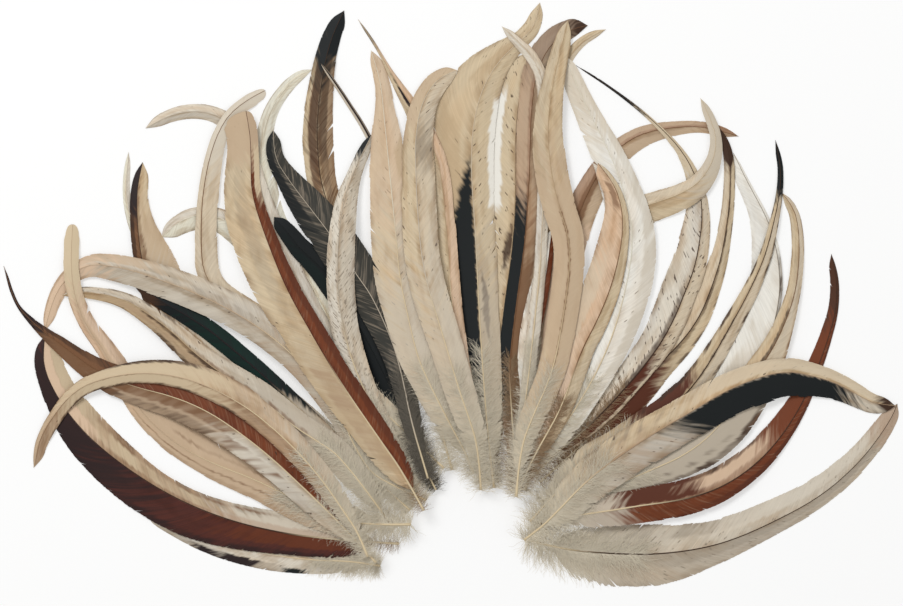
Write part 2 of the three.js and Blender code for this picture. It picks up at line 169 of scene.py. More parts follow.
PALETTE = {
    "white": tone(230, 226, 216),
    "ivory": tone(212, 203, 187),
    "straw": tone(222, 217, 198),
    "cream": tone(206, 190, 165),
    "tan": tone(202, 183, 152),
    "sand": tone(182, 158, 125),
    "beige": tone(190, 166, 138),
    "fawn": tone(168, 141, 114),
    "peach": tone(210, 182, 154),
    "oat": tone(198, 187, 169),
    "ash": tone(182, 170, 152),
    "smoke": tone(134, 122, 107),
    "rosewood": tone(170, 140, 116),
    "brown": tone(114, 80, 54),
    "bark": tone(64, 45, 33),
    "rust": tone(110, 58, 33),
    "chestnut": tone(86, 46, 30),
    "mahogany": tone(82, 45, 38),
    "soot": tone(44, 34, 34),
    "charcoal": tone(58, 57, 52),
    # black, with a faint blue cast that is painted sheen
    "ink": tone(24, 28, 29),
    # painted sheen: the green that the black feathers show in the light
    "green": tone(14, 42, 36),
    "quill": tone(212, 193, 158),
    "down": tone(206, 196, 175),
    "grey_down": tone(98, 92, 82),
    "brown_down": tone(140, 115, 88),
}


@dataclass
class Look:
    """How one feather looks, with its paints by their names in the palette."""

    left: str
    right: str
    shaft: str
    slot: str  # name of a material slot, before "_feather"; not used
    patches: list = field(default_factory=list)  # markings, each laid over the one before
    turn: float = 0.45  # share of the length where the shaft turns from the quill's paint to its own
    specks: float = 0.05  # amount of short dashes along the barbs
    speck: str = "bark"
    stripes: float = 0.22  # strength of stripes along the barbs
    stripe: str = "fawn"
    mottle: float = 0.7  # strength of clouds, and of the stains and painted shade at rims and roots
    down: str = "down"
    bloom: float = 0.24  # share of the length up to which the down's paint tints the vanes
    fluff: float = 1.0  # filaments of down, in shares of DOWN_COUNT
    rounded: bool = False  # the tip is round, not pointed
    spread: float = 1.0  # width of the vanes, in widths of the solid's
    rough: float = 0.55  # roughness of its surface


def patch(
    paint, start, end, side=BOTH, inner=ROOT, outer=EDGE, soft=0.025, cover=1.0, slant=0.0, broken=0.0
):
    """A marking between two shares of the length and two shares of the vane's width.

    With a slant its ends lie nearer the quill at the vane's edge, and it may be broken up along the barbs.
    """
    return {
        "Paint": PALETTE[paint],
        "Start": start,
        "End": end,
        "Inner": inner,
        "Outer": outer,
        "Side": side,
        "Soft": soft,
        "Cover": cover,
        "Slant": slant,
        "Broken": broken,
    }


LOOKS = {
    "pale_leaf": Look("straw", "ivory", "straw", "ivory"),
    "pale_thin": Look("straw", "ivory", "ivory", "ivory"),
    "pale_arch": Look("straw", "straw", "straw", "ivory"),
    "grey_sickle": Look("oat", "ivory", "oat", "ash", specks=0.3),
    "black_tipped_spear": Look("tan", "tan", "bark", "umber", [
        patch("brown", 0.1, 0.92, LEFT, inner=0.05, outer=0.66, soft=0.05, cover=0.75),
        patch("brown", 0.1, 0.92, RIGHT, inner=0.1, soft=0.05, cover=0.6),
        patch("bark", 0.66, 0.92, outer=0.6, soft=0.08, cover=0.7),
        patch("tan", 0.4, 0.74, LEFT, inner=0.6, soft=0.06, cover=0.7),
        patch("ink", 0.85, TIP, soft=0.05, slant=-0.03),
    ], turn=0.5, stripes=0.85, stripe="bark"),
    "white_under": Look("ivory", "oat", "oat", "ivory", [
        patch("smoke", 0.4, TIP, LEFT, inner=0.5, soft=0.05, cover=0.45),
        patch("ink", 0.31, 0.4, LEFT, inner=0.7),
        patch("soot", 0.46, 0.62, LEFT, inner=0.5, soft=0.03, slant=-0.06),
        patch("soot", 0.68, 0.78, LEFT, inner=0.6, soft=0.03),
    ], specks=0.3, fluff=1.3),
    "pale_sweep": Look("oat", "ash", "bark", "ash", [
        patch("smoke", 0.15, 0.5, LEFT, inner=0.5, soft=0.1, cover=0.5, broken=0.4),
        patch("smoke", 0.3, 0.95, RIGHT, outer=0.5, soft=0.08, cover=0.35),
        patch("ivory", 0.46, 0.9, LEFT, inner=0.35, soft=0.06, cover=0.6),
        patch("rosewood", 0.9, TIP, soft=0.03, cover=0.6),
    ], turn=0.12, specks=0.6, speck="smoke", mottle=0.45, fluff=1.5),
    "tan_tip": Look("tan", "cream", "sand", "tan"),
    "brown_tan_sickle": Look("rosewood", "beige", "brown", "brown", [
        patch("peach", 0.1, 0.55, inner=0.35),
        patch("brown", 0.5, 0.72, outer=0.3, soft=0.04, cover=0.8),
        patch("beige", 0.72, 0.92, inner=0.35, soft=0.04, cover=0.7),
        patch("brown", 0.93, TIP, outer=0.8, soft=0.05, cover=0.5),
    ], turn=0.4),
    "white_right": Look("white", "white", "smoke", "ivory", [
        patch("oat", 0.1, 0.55, LEFT, outer=0.6, soft=0.1, cover=0.8),
        patch("bark", 0.5, 0.77, RIGHT, inner=0.1, soft=0.02, cover=0.9, broken=0.5),
    ], turn=0.5, stripes=0.08, mottle=0.3),
    "brown_edged_blade": Look("brown", "tan", "bark", "tan", [
        patch("bark", 0.3, 0.97, LEFT, inner=0.45, soft=0.04, cover=0.9, broken=0.3),
        patch("soot", 0.88, TIP, LEFT, soft=0.04),
        patch("brown", 0.55, 0.95, RIGHT, outer=0.2, soft=0.03, cover=0.8, broken=0.5),
        patch("beige", 0.66, 0.9, RIGHT, inner=0.2, soft=0.06, cover=0.7),
        patch("oat", 0.1, 0.72, RIGHT, inner=0.15, soft=0.08, cover=0.8),
    ], turn=0.3),
    "green_black": Look("ash", "ash", "soot", "black", [
        patch("ink", 0.48, TIP, soft=0.04, slant=0.12),
        # painted green sheen
        patch("green", 0.52, 0.8, inner=0.1, soft=0.08, cover=0.9, broken=0.4),
        patch("bark", 0.9, TIP, LEFT),
    ], stripes=0.0, fluff=1.5, rough=0.42),
    "black": Look("ink", "ink", "ink", "black", [
        # painted green sheen
        patch("green", 0.6, 0.9, LEFT, inner=0.2, outer=0.9, soft=0.1, cover=0.25),
    ], turn=0.2, stripes=0.0, mottle=0.2, down="grey_down", rough=0.5),
    "mahogany_sickle": Look("mahogany", "fawn", "bark", "mahogany", [
        # painted rust-red sheen on the dark left vane near the quill
        patch("rust", 0.05, 0.36, LEFT, outer=0.6, soft=0.1, cover=0.6),
        patch("soot", 0.15, 0.6, LEFT, inner=0.8, soft=0.06, cover=0.7, broken=0.4),
        patch("soot", 0.6, TIP, LEFT, soft=0.15, cover=0.9),
        patch("oat", 0.05, 0.4, RIGHT, soft=0.1),
        patch("rosewood", 0.05, 0.5, RIGHT, outer=0.3, soft=0.08, cover=0.5),
        patch("smoke", 0.32, 0.55, RIGHT, inner=0.55, soft=0.05, cover=0.6, broken=0.7),
        patch("tan", 0.45, 0.78, RIGHT, inner=0.2, outer=0.8, soft=0.06, cover=0.8, broken=0.5),
        patch("brown", 0.3, 0.78, RIGHT, inner=0.7, outer=0.84, soft=0.04, cover=0.8, broken=0.6),
        patch("peach", 0.74, TIP, RIGHT, outer=0.45, soft=0.05),
        patch("tan", 0.78, TIP, RIGHT, inner=0.45, soft=0.05, cover=0.8),
    ], turn=0.2, stripes=0.35, stripe="soot", down="brown_down", bloom=0.08, fluff=0.2),
    "dark_tipped": Look("cream", "tan", "bark", "cream", [
        patch("chestnut", 0.05, 0.42, RIGHT, outer=1.0, soft=0.05, slant=0.08),
        patch("chestnut", 0.05, 0.34, LEFT, outer=0.6, soft=0.06),
        patch("bark", 0.4, 0.9, RIGHT, outer=0.25, soft=0.04, cover=0.85, broken=0.5),
        patch("bark", 0.4, 0.9, RIGHT, inner=0.8, soft=0.04, cover=0.7, broken=0.8),
        patch("bark", 0.89, TIP, soft=0.02, slant=-0.03),
    ], turn=0.12, down="brown_down", bloom=0.08, fluff=0.8),
    "tan_arc": Look("tan", "cream", "brown", "tan", [
        patch("ash", 0.1, 0.55, soft=0.05),
        patch("bark", 0.2, 0.56, RIGHT, inner=0.78, soft=0.03, cover=0.95, broken=0.5),
        patch("bark", 0.25, 0.42, RIGHT, inner=0.45, outer=0.62, soft=0.03, cover=0.6, broken=0.85),
        patch("bark", 0.52, 0.74, LEFT, outer=0.25, soft=0.03, cover=0.9, broken=0.4),
        patch("brown", 0.5, 0.95, RIGHT, inner=0.85, soft=0.03, cover=0.6, broken=0.85),
    ], turn=0.5, fluff=1.5),
    "tan_strip": Look("cream", "cream", "brown", "tan", [
        patch("brown", 0.5, 0.6, outer=0.3, soft=0.03, cover=0.6, broken=0.85),
        patch("ivory", 0.8, TIP, soft=0.05, cover=0.7),
    ], turn=0.57, mottle=0.5, rounded=True),
    "charcoal_striped": Look("charcoal", "charcoal", "ash", "charcoal", [
        patch("smoke", 0.3, 0.85, outer=0.35, soft=0.06, cover=0.4, broken=0.6),
        patch("ink", 0.72, TIP, LEFT, inner=0.3, soft=0.06, cover=0.9),
        patch("ink", 0.2, 0.7, inner=0.75, soft=0.06, cover=0.5, broken=0.5),
    ], turn=0.1, stripes=0.75, stripe="smoke", mottle=0.2, down="grey_down", fluff=1.5),
    "edge_on": Look("oat", "smoke", "soot", "ash", [
        patch("soot", 0.72, 0.98, RIGHT, outer=0.5),
    ], turn=0.6),
    "wire_tipped": Look("ivory", "cream", "bark", "cream", [
        patch("chestnut", 0.05, 0.36, RIGHT, outer=0.75, soft=0.06, slant=0.1),
        patch("bark", 0.05, 0.45, LEFT, outer=0.2, soft=0.05, cover=0.9, broken=0.4),
        patch("tan", 0.68, 0.86, soft=0.04, cover=0.8),
        patch("ink", 0.85, TIP, soft=0.03),
    ], turn=0.1, specks=0.75, down="brown_down", bloom=0.08, fluff=0.8),
    "rust_right": Look("rosewood", "rust", "bark", "rust", [
        patch("oat", 0.05, 0.2, soft=0.05, cover=0.8),
        patch("chestnut", 0.18, 0.37, LEFT, inner=0.05, soft=0.03),
        patch("peach", 0.36, 0.56, LEFT, inner=0.3, outer=0.8, soft=0.05, cover=0.8),
        patch("bark", 0.36, 0.6, LEFT, inner=0.8, soft=0.04, cover=0.9, broken=0.5),
        patch("rust", 0.56, TIP, LEFT, soft=0.05),
        patch("chestnut", 0.35, TIP, RIGHT, inner=0.6, soft=0.05, cover=0.9, broken=0.4),
        patch("bark", 0.85, TIP, soft=0.05, cover=0.8),
    ], turn=0.3, bloom=0.15, fluff=0.3),
    "grey_curled": Look("ash", "oat", "beige", "ash", [
        patch("fawn", 0.1, 0.42, soft=0.1, cover=0.5, broken=0.5),
        patch("ivory", 0.5, 0.72, LEFT, inner=0.3, soft=0.08, cover=0.6, broken=0.4),
        patch("smoke", 0.4, 0.7, RIGHT, outer=0.4, soft=0.08, cover=0.4, broken=0.6),
        patch("beige", 0.72, TIP, RIGHT, inner=0.3, soft=0.06, cover=0.8),
        patch("peach", 0.83, TIP, soft=0.06),
        patch("fawn", 0.8, TIP, inner=0.7, soft=0.05, cover=0.8, broken=0.6),
    ], specks=0.35, mottle=0.7, fluff=1.5),
    "dark_edged_tan": Look("tan", "cream", "bark", "tan", [
        patch("chestnut", 0.3, 0.46, LEFT, inner=0.1, soft=0.03),
        patch("bark", 0.3, 0.95, LEFT, inner=0.72, soft=0.03, cover=0.9, broken=0.85),
        patch("bark", 0.35, 0.95, RIGHT, inner=0.78, soft=0.03, cover=0.9, broken=0.85),
        patch("bark", 0.3, 0.9, outer=0.1, soft=0.03, cover=0.8, broken=0.85),
        patch("ink", 0.88, TIP, soft=0.02),
    ], turn=0.2),
    "kinked_tan": Look("cream", "tan", "tan", "tan", [
        patch("oat", 0.8, TIP, soft=0.06, cover=0.8),
        patch("bark", 0.6, 0.74, RIGHT, inner=0.93, soft=0.02, cover=0.8, broken=0.6),
    ], mottle=0.7),
    "speckled_tan": Look("tan", "beige", "sand", "tan", [
        patch("white", 0.63, 0.9, LEFT, inner=0.58, soft=0.015),
        patch("bark", 0.52, 0.6, LEFT, inner=0.0, outer=0.35, soft=0.02, cover=0.9, slant=0.1),
        patch("bark", 0.4, 0.7, RIGHT, inner=0.85, soft=0.02, cover=0.8, broken=0.7),
        patch("fawn", 0.2, 0.6, RIGHT, outer=0.5, soft=0.06, cover=0.8, broken=0.4),
    ], turn=0.3, specks=0.6, down="brown_down", bloom=0.3, fluff=1.5, spread=1.12),
    "brown_arch": Look("rosewood", "fawn", "brown", "brown", [
        patch("ink", 0.15, 0.6, LEFT, inner=0.0, soft=0.05),
        patch("brown", 0.06, 0.5, RIGHT, outer=0.8, soft=0.08, cover=0.8),
        patch("beige", 0.62, 0.84, inner=0.2, soft=0.08, cover=0.6),
        patch("smoke", 0.84, TIP, soft=0.04, cover=0.5),
        patch("bark", 0.965, TIP),
    ], turn=0.2, down="brown_down", bloom=0.14, fluff=1.5),
    "salt_and_pepper": Look("ivory", "oat", "ash", "cream", [
        patch("ink", 0.93, TIP, LEFT, soft=0.02),
        patch("soot", 0.05, 0.16, inner=0.0, soft=0.05, cover=0.5),
    ], specks=0.9, speck="smoke", stripes=0.4, stripe="smoke", fluff=1.5),
    "pale_speckled": Look("white", "white", "straw", "ivory", [
        patch("oat", 0.3, 0.85, RIGHT, inner=0.5, soft=0.1, cover=0.7, broken=0.4),
        patch("cream", 0.82, TIP, soft=0.08, cover=0.6),
    ], specks=0.45, speck="smoke", stripes=0.06, mottle=0.35),
    "black_vaned_tan": Look("tan", "tan", "cream", "tan", [
        patch("sand", 0.4, 0.72, LEFT, inner=0.3, soft=0.06, cover=0.7),
        patch("ink", 0.17, 0.66, LEFT, inner=0.02, soft=0.02, slant=0.19),
        patch("white", 0.55, 0.78, RIGHT, inner=0.72, soft=0.015),
        patch("bark", 0.36, 0.46, RIGHT, inner=0.2, outer=0.5, soft=0.012, cover=0.9, slant=0.15),
        patch("ash", 0.05, 0.45, RIGHT, soft=0.1, cover=0.6),
    ], specks=0.5, mottle=0.6, spread=1.06),
    "broad_tan": Look("tan", "cream", "straw", "tan", [
        patch("peach", 0.6, TIP, soft=0.08, cover=0.5),
        patch("oat", 0.1, 0.5, soft=0.15, cover=0.7),
        patch("sand", 0.55, 0.85, RIGHT, inner=0.4, soft=0.1, cover=0.6, broken=0.6),
    ], turn=0.6, specks=0.5, mottle=0.75),
    "thin_tipped_tan": Look("tan", "peach", "sand", "tan", [
        patch("soot", 0.78, 0.85, LEFT, outer=0.35, soft=0.02),
        patch("smoke", 0.93, TIP),
    ], specks=0.25),
    "white_and_rust": Look("white", "rust", "chestnut", "ivory", [
        patch("white", 0.0, 0.25, RIGHT, soft=0.06),
    ], turn=0.3),
    "peach": Look("peach", "tan", "brown", "peach", [
        patch("cream", 0.25, 0.7, LEFT, inner=0.4, soft=0.1, cover=0.6),
        patch("brown", 0.86, 0.94, LEFT, inner=0.1, outer=0.5, soft=0.02, cover=0.7),
    ], turn=0.35, down="brown_down"),
    "pale_long": Look("sand", "oat", "sand", "cream", [
        patch("ash", 0.05, 0.5, soft=0.08, cover=0.8),
        patch("bark", 0.32, 0.8, LEFT, outer=0.24, soft=0.03, cover=0.9, broken=0.5),
        patch("bark", 0.4, 0.75, LEFT, inner=0.72, soft=0.03, cover=0.8, broken=0.6),
        patch("brown", 0.3, 0.7, RIGHT, outer=0.2, soft=0.03, cover=0.7, broken=0.8),
        patch("bark", 0.72, 0.97, RIGHT, inner=0.75, soft=0.03, cover=0.7, broken=0.7),
        patch("fawn", 0.6, 0.9, LEFT, inner=0.2, outer=0.7, soft=0.06, cover=0.6, broken=0.5),
    ], turn=0.5, specks=0.4, mottle=0.8, fluff=1.5),
    "rust_and_tan": Look("tan", "rust", "chestnut", "rust", [
        patch("sand", 0.1, 0.45, LEFT, soft=0.15, cover=0.6),
        patch("fawn", 0.08, 0.42, LEFT, inner=0.1, outer=0.7, soft=0.1, cover=0.8, broken=0.5),
        patch("smoke", 0.55, 0.86, LEFT, inner=0.2, outer=0.6, soft=0.15, cover=0.35),
        patch("chestnut", 0.03, 0.8, RIGHT, inner=0.5, soft=0.06, cover=0.7),
        patch("beige", 0.88, TIP, soft=0.03, cover=0.9),
        patch("tan", 0.8, 0.92, RIGHT, inner=0.35, soft=0.03),
    ], turn=0.35, specks=0.3, mottle=0.7, down="brown_down", bloom=0.05, fluff=0.12, rounded=True),
    "peach_strip": Look("peach", "peach", "beige", "peach", [
        patch("beige", 0.05, 0.62, soft=0.08, cover=0.8),
        patch("brown", 0.22, 0.6, LEFT, inner=0.42, outer=0.5, soft=0.01, cover=0.9, broken=0.5),
        patch("brown", 0.28, 0.52, RIGHT, inner=0.3, outer=0.37, soft=0.01, cover=0.8, broken=0.5),
        patch("brown", 0.2, 0.5, RIGHT, inner=0.7, outer=0.76, soft=0.01, cover=0.8, broken=0.5),
        patch("fawn", 0.2, 0.6, LEFT, inner=0.75, soft=0.05, cover=0.7, broken=0.4),
        patch("beige", 0.5, TIP, outer=0.25, soft=0.05, cover=0.7),
        patch("tan", 0.86, TIP, soft=0.04),
    ], fluff=1.5, rounded=True),
    "cream_strip": Look("ivory", "ivory", "cream", "cream", specks=0.2),
    "dark_shafted_tan": Look("tan", "tan", "sand", "tan", [
        patch("beige", 0.2, 0.72, soft=0.12, cover=0.8),
        patch("brown", 0.2, 0.6, outer=0.06, soft=0.04, cover=0.9),
    ], turn=0.35, specks=0.2, mottle=0.8),
    "grey_arch": Look("tan", "cream", "oat", "ash", [
        patch("smoke", 0.74, 0.84, RIGHT, outer=0.9, soft=0.05, cover=0.6),
        patch("oat", 0.05, 0.5, soft=0.15, cover=0.6),
        patch("beige", 0.82, TIP, LEFT, inner=0.1, soft=0.06, cover=0.7),
    ], specks=0.45),
    "rust_wire_tipped": Look("oat", "rust", "brown", "rust", [
        patch("chestnut", 0.08, 0.8, RIGHT, inner=0.5, soft=0.06, cover=0.8, broken=0.4),
        patch("ivory", 0.28, 0.44, LEFT, inner=0.3, outer=0.9, soft=0.04, cover=0.7),
        patch("brown", 0.24, 0.4, LEFT, inner=0.4, soft=0.04, cover=0.8, broken=0.85),
        patch("fawn", 0.42, 0.7, LEFT, soft=0.05, cover=0.8),
        patch("brown", 0.4, 0.72, LEFT, outer=0.45, soft=0.05, cover=0.9, broken=0.4),
        patch("bark", 0.44, 0.7, LEFT, inner=0.6, soft=0.04, cover=0.8, broken=0.6),
        patch("brown", 0.66, 0.9, soft=0.05, cover=0.95),
        patch("bark", 0.68, 0.9, RIGHT, inner=0.4, soft=0.05, cover=0.8, broken=0.5),
        patch("soot", 0.84, TIP, soft=0.05),
    ], turn=0.62, specks=0.4, bloom=0.12, fluff=0.5),
    "cream_sickle": Look("fawn", "beige", "beige", "cream", [
        patch("tan", 0.48, 0.85, outer=0.9, soft=0.08, cover=0.85),
        patch("oat", 0.1, 0.35, RIGHT, inner=0.3, soft=0.1, cover=0.6),
        patch("bark", 0.54, 0.72, RIGHT, inner=0.8, soft=0.03, cover=0.95, broken=0.4),
        patch("bark", 0.42, 0.92, LEFT, inner=0.82, soft=0.03, cover=0.8, broken=0.5),
        patch("brown", 0.4, 0.98, LEFT, outer=0.1, soft=0.03, cover=0.7, broken=0.6),
    ], specks=0.2, mottle=0.8),
    "cream_and_black": Look("tan", "oat", "fawn", "cream", [
        patch("fawn", 0.12, 0.48, LEFT, outer=0.7, soft=0.1, cover=0.6, broken=0.5),
        patch("smoke", 0.2, 0.5, LEFT, inner=0.45, soft=0.08, cover=0.6, broken=0.8),
        patch("cream", 0.5, TIP, LEFT, inner=0.2, soft=0.08, cover=0.7),
        patch("fawn", 0.15, 0.4, RIGHT, soft=0.08, cover=0.5, broken=0.5),
        patch("ink", 0.43, 0.88, RIGHT, inner=0.02, soft=0.04, slant=-0.04),
        patch("bark", 0.965, TIP),
    ], turn=0.22, specks=0.45, mottle=0.8),
}


def read_feather(node):
    """Lines along a feather's solid, from its cut quill to its tip.

    The corners are sorted into rings by steps along the solid's edges from the cut quill. In each ring the
    two outermost corners are on the vanes' edges, the lowest of the rest is under the shaft and the others
    are on it.
    """
    mesh = node.data
    places = np.empty(len(mesh.vertices) * 3, np.float32)
    mesh.vertices.foreach_get("co", places)
    corners = np.empty(len(mesh.loops), np.int32)
    mesh.loops.foreach_get("vertex_index", corners)
    places = np.round(places.reshape(-1, 3).astype(float), MERGE_DIGITS)
    points, merged = np.unique(places, axis=0, return_inverse=True)
    faces = merged.ravel()[corners].reshape(-1, 3)
    pairs = np.concatenate([faces[:, [0, 1]], faces[:, [1, 2]], faces[:, [2, 0]]])
    pairs = np.concatenate([pairs, pairs[:, ::-1]])

    butt = np.linalg.norm(points[:, :2] - QUILL_CENTRE, axis=1).argmin()
    ring = np.linalg.norm(points - points[butt], axis=1) < RING_SPAN
    rings = [ring]
    seen = ring.copy()
    while not seen.all():
        nearby = pairs[np.isin(pairs[:, 0], np.flatnonzero(rings[-1])), 1]
        ring = np.zeros(len(points), bool)
        ring[nearby] = True
        ring &= ~seen
        seen |= ring
        rings.append(ring)

    middles = np.array([points[ring].mean(0) for ring in rings])
    heading = np.gradient(middles[:, :2], axis=0)
    lines = {LEFT: [], RIGHT: [], "crown": [], "under": []}
    for ring, middle, (ahead_x, ahead_y) in zip(rings, middles, heading):
        found = points[ring]
        found = found[np.argsort((found[:, :2] - middle[:2]) @ (-ahead_y, ahead_x))]
        inner = found[1:-1] if len(found) > 2 else found
        inner = inner[np.argsort(inner[:, 2])]
        lines[LEFT].append(found[-1])
        lines[RIGHT].append(found[0])
        lines["under"].append(inner[0])
        lines["crown"].append(inner[1:].mean(0) if len(inner) > 1 else inner[0])
    feather = {name: np.array(line) for name, line in lines.items()}
    steps = np.linalg.norm(np.diff(feather["under"][:, :2], axis=0), axis=1)
    reached = np.concatenate([[0.0], np.cumsum(steps)])
    feather["length"] = reached[-1]
    feather["share"] = reached / reached[-1]
    return feather


def line_at(feather, line, share):
    """Points on a line of the feather at shares of its length.

    Between two rings the line is the cubic that passes both with the slopes of the line at each.
    """
    knots, values = feather["share"], feather[line]
    slopes = np.gradient(values, knots, axis=0)
    share = np.clip(share, 0.0, 1.0)
    k = np.clip(np.searchsorted(knots, share) - 1, 0, len(knots) - 2)
    span = (knots[k + 1] - knots[k])[..., None]
    x = (share - knots[k])[..., None] / span
    start = (1 + 2 * x) * (1 - x) ** 2 * values[k] + x * (1 - x) ** 2 * span * slopes[k]
    end = x * x * (3 - 2 * x) * values[k + 1] - x * x * (1 - x) * span * slopes[k + 1]
    return start + end


def feather_part(kind, places, quads, column, row, **values):
    """A part of a feather: its corners and faces, and each corner's attributes and place on the map."""
    shape = places.shape[:-1]
    values["kind"] = kind
    part = {name: np.broadcast_to(value, shape).ravel() for name, value in values.items()}
    part["places"] = places.reshape(-1, 3)
    part["quads"] = quads
    part["map"] = np.stack([np.broadcast_to(value, shape) for value in (column, row)], -1).reshape(-1, 2)
    return part


def ribbons_part(kind, places, row, rows, **values):
    """Ribbons of two edges as a part, each in its own column of a band of the map."""
    count, rungs = places.shape[:2]
    first = (np.arange(count)[:, None] * rungs + np.arange(rungs - 1)) * 2
    quads = np.stack([first, first + 1, first + 3, first + 2], -1).reshape(-1, 4)
    column = (np.arange(count)[:, None, None] + 0.5 + COLUMN_EDGES) / count
    return feather_part(kind, places, quads, column, row + rows * np.linspace(0, 1, rungs)[:, None], **values)


def vane_part(feather, side, rounded, spread, rng):
    """One vane as ribbons, one for each barb.

    A barb that grows at share s of the shaft is at share s + sweep(s) * q ** bend of the length when it has
    reached the part q of the vane's width. The place is on the straight line from the spine to the vane's
    edge there, times the spread, and its height falls from the shaft's flank to the edge with a low arch.
    Neighbouring barbs cling together in clumps, which draw in towards their middles after a random part of
    the width. A rounded tip closes as a quarter of an ellipse after the last ring.
    """
    count = int(feather["length"] * (VANE_END - VANE_START) / BARB_SPACING)
    ordinal = np.arange(count)
    roots = VANE_START + (VANE_END - VANE_START) * (ordinal + 0.5) / count
    spacing = (VANE_END - VANE_START) / count

    bounds = np.cumsum(rng.integers(*CLUMP_BARBS, count))
    clump = np.searchsorted(bounds, ordinal, side="right")
    clumps = clump.max() + 1
    middle = np.bincount(clump, roots, clumps) / np.bincount(clump, minlength=clumps)
    loose = np.clip((LOOSE_END - roots) / (LOOSE_END - VANE_START), 0, 1)
    torn = rng.random(clumps) < TORN
    split = np.where(torn, rng.uniform(*TORN_SPLIT, clumps), WHOLE_SPLIT)[clump] * (1 - LOOSE_SPLIT * loose)
    pinch = np.where(torn, rng.uniform(*TORN_PINCH, clumps), WHOLE_PINCH)[clump] + LOOSE_PINCH * loose
    drift = rng.normal(0.0, CLUMP_DRIFT, clumps)[clump] * (1 + LOOSE_DRIFT * loose) / feather["length"]
    lift = rng.uniform(-1.0, 1.0, clumps)[clump] * CLUMP_LIFT
    chance = rng.random(count)
    reach = 1 - RAGGED_BARB * rng.random(count) - RAGGED_CLUMP * rng.random(clumps)[clump] ** 4
    reach -= loose * RAGGED_LOOSE * rng.random(count)

    width = np.linalg.norm((line_at(feather, side, roots) - line_at(feather, "under", roots))[:, :2], axis=1)
    angle = np.radians(BASE_ANGLE + (TIP_ANGLE - BASE_ANGLE) * roots)
    sweep = width / np.tan(angle) / feather["length"]

    across = (reach[:, None] * np.linspace(0, 1, BARB_STEPS + 1))[:, :, None]
    edges = np.array([-0.5, 0.5]) * BARB_LAP * spacing
    taper = (1 - BARB_TAPER * across**3) * (1 - LOOSE_TAPER * loose[:, None, None])
    start = roots[:, None, None] + edges * taper
    opened = np.clip((across - split[:, None, None]) / (1 - split[:, None, None]), 0, 1) ** DRAW_POWER
    shift = ((middle[clump] - roots) * pinch + drift)[:, None, None] * opened
    ahead = np.maximum(sweep[:, None, None] * across**BARB_BEND + shift, BACKWARDS)
    room = np.maximum(1 - start, TIP_ROOM)
    along = start + room * (1 - np.exp(-ahead / room))
    across = np.broadcast_to(across, along.shape)

    under = line_at(feather, "under", along)
    crown = line_at(feather, "crown", along)
    rim = under + spread * (line_at(feather, side, along) - under)
    if rounded:
        last = feather["share"][-2]
        widest = line_at(feather, side, last) - line_at(feather, "under", last)
        closing = np.sqrt(1 - np.clip((along - last) / (1 - last), 0, 1) ** 2)[..., None]
        rim = np.where((along > last)[..., None], under + closing * widest, rim)
    thick = crown[..., 2] - under[..., 2]
    places = under + across[..., None] * (rim - under)
    flank = under[..., 2] + FLANK * thick
    height = flank + across * (rim[..., 2] - flank) + ARCH * thick * across * (1 - across)
    height += lift[:, None, None] * across + np.sign(edges) * BARB_TILT / 2
    places[..., 2] = np.maximum(height, BARB_LOWEST)
    return ribbons_part(
        VANE_KIND,
        places,
        VANE_ROW[side],
        VANE_ROWS,
        along=along,
        across=side * across,
        root=roots[:, None, None],
        chance=chance[:, None, None],
    )


def shaft_part(feather):
    """The shaft as a tapering tube with a closed cut end.

    At share t of the length the section is an ellipse. Its half width falls from the quill's radius to the
    tip's with a power of t, its height is that of the solid, and its centre is half way up the solid.
    """
    share = np.concatenate([[0.0], np.linspace(0, 1, SHAFT_STEPS) ** SHAFT_CROWDING])
    turn = np.linspace(0, 2 * math.pi, SHAFT_SIDES + 1)
    under = line_at(feather, "under", share)
    crown = line_at(feather, "crown", share)
    even = np.linspace(0, 1, len(share))
    ahead = np.gradient(line_at(feather, "under", even)[:, :2], axis=0)
    ahead = np.stack([np.interp(share, even, ahead[:, i]) for i in (0, 1)], 1)
    ahead /= np.linalg.norm(ahead, axis=1)[:, None]
    radius = QUILL_RADIUS + (SHAFT_TIP_RADIUS - QUILL_RADIUS) * share**SHAFT_TAPER
    radius[0] = 0.0
    tall = np.maximum((crown[:, 2] - under[:, 2]) / 2, SHAFT_FLATTEST)
    level = np.maximum(under[:, 2], 0) + tall
    tall[0] = 0.0
    sideways = radius[:, None] * np.cos(turn)
    places = np.empty(sideways.shape + (3,))
    places[..., 0] = under[:, 0, None] - ahead[:, 1, None] * sideways
    places[..., 1] = under[:, 1, None] + ahead[:, 0, None] * sideways
    places[..., 2] = level[:, None] + tall[:, None] * np.sin(turn)
    rows, columns = sideways.shape
    first = np.arange(rows - 1)[:, None] * columns + np.arange(columns - 1)
    return feather_part(
        SHAFT_KIND,
        places,
        np.stack([first, first + columns, first + columns + 1, first + 1], -1).reshape(-1, 4),
        even[:, None],
        SHAFT_ROW + SHAFT_ROWS * turn / (2 * math.pi),
        along=share[:, None],
        across=0.0,
        root=share[:, None],
        chance=0.5,
    )


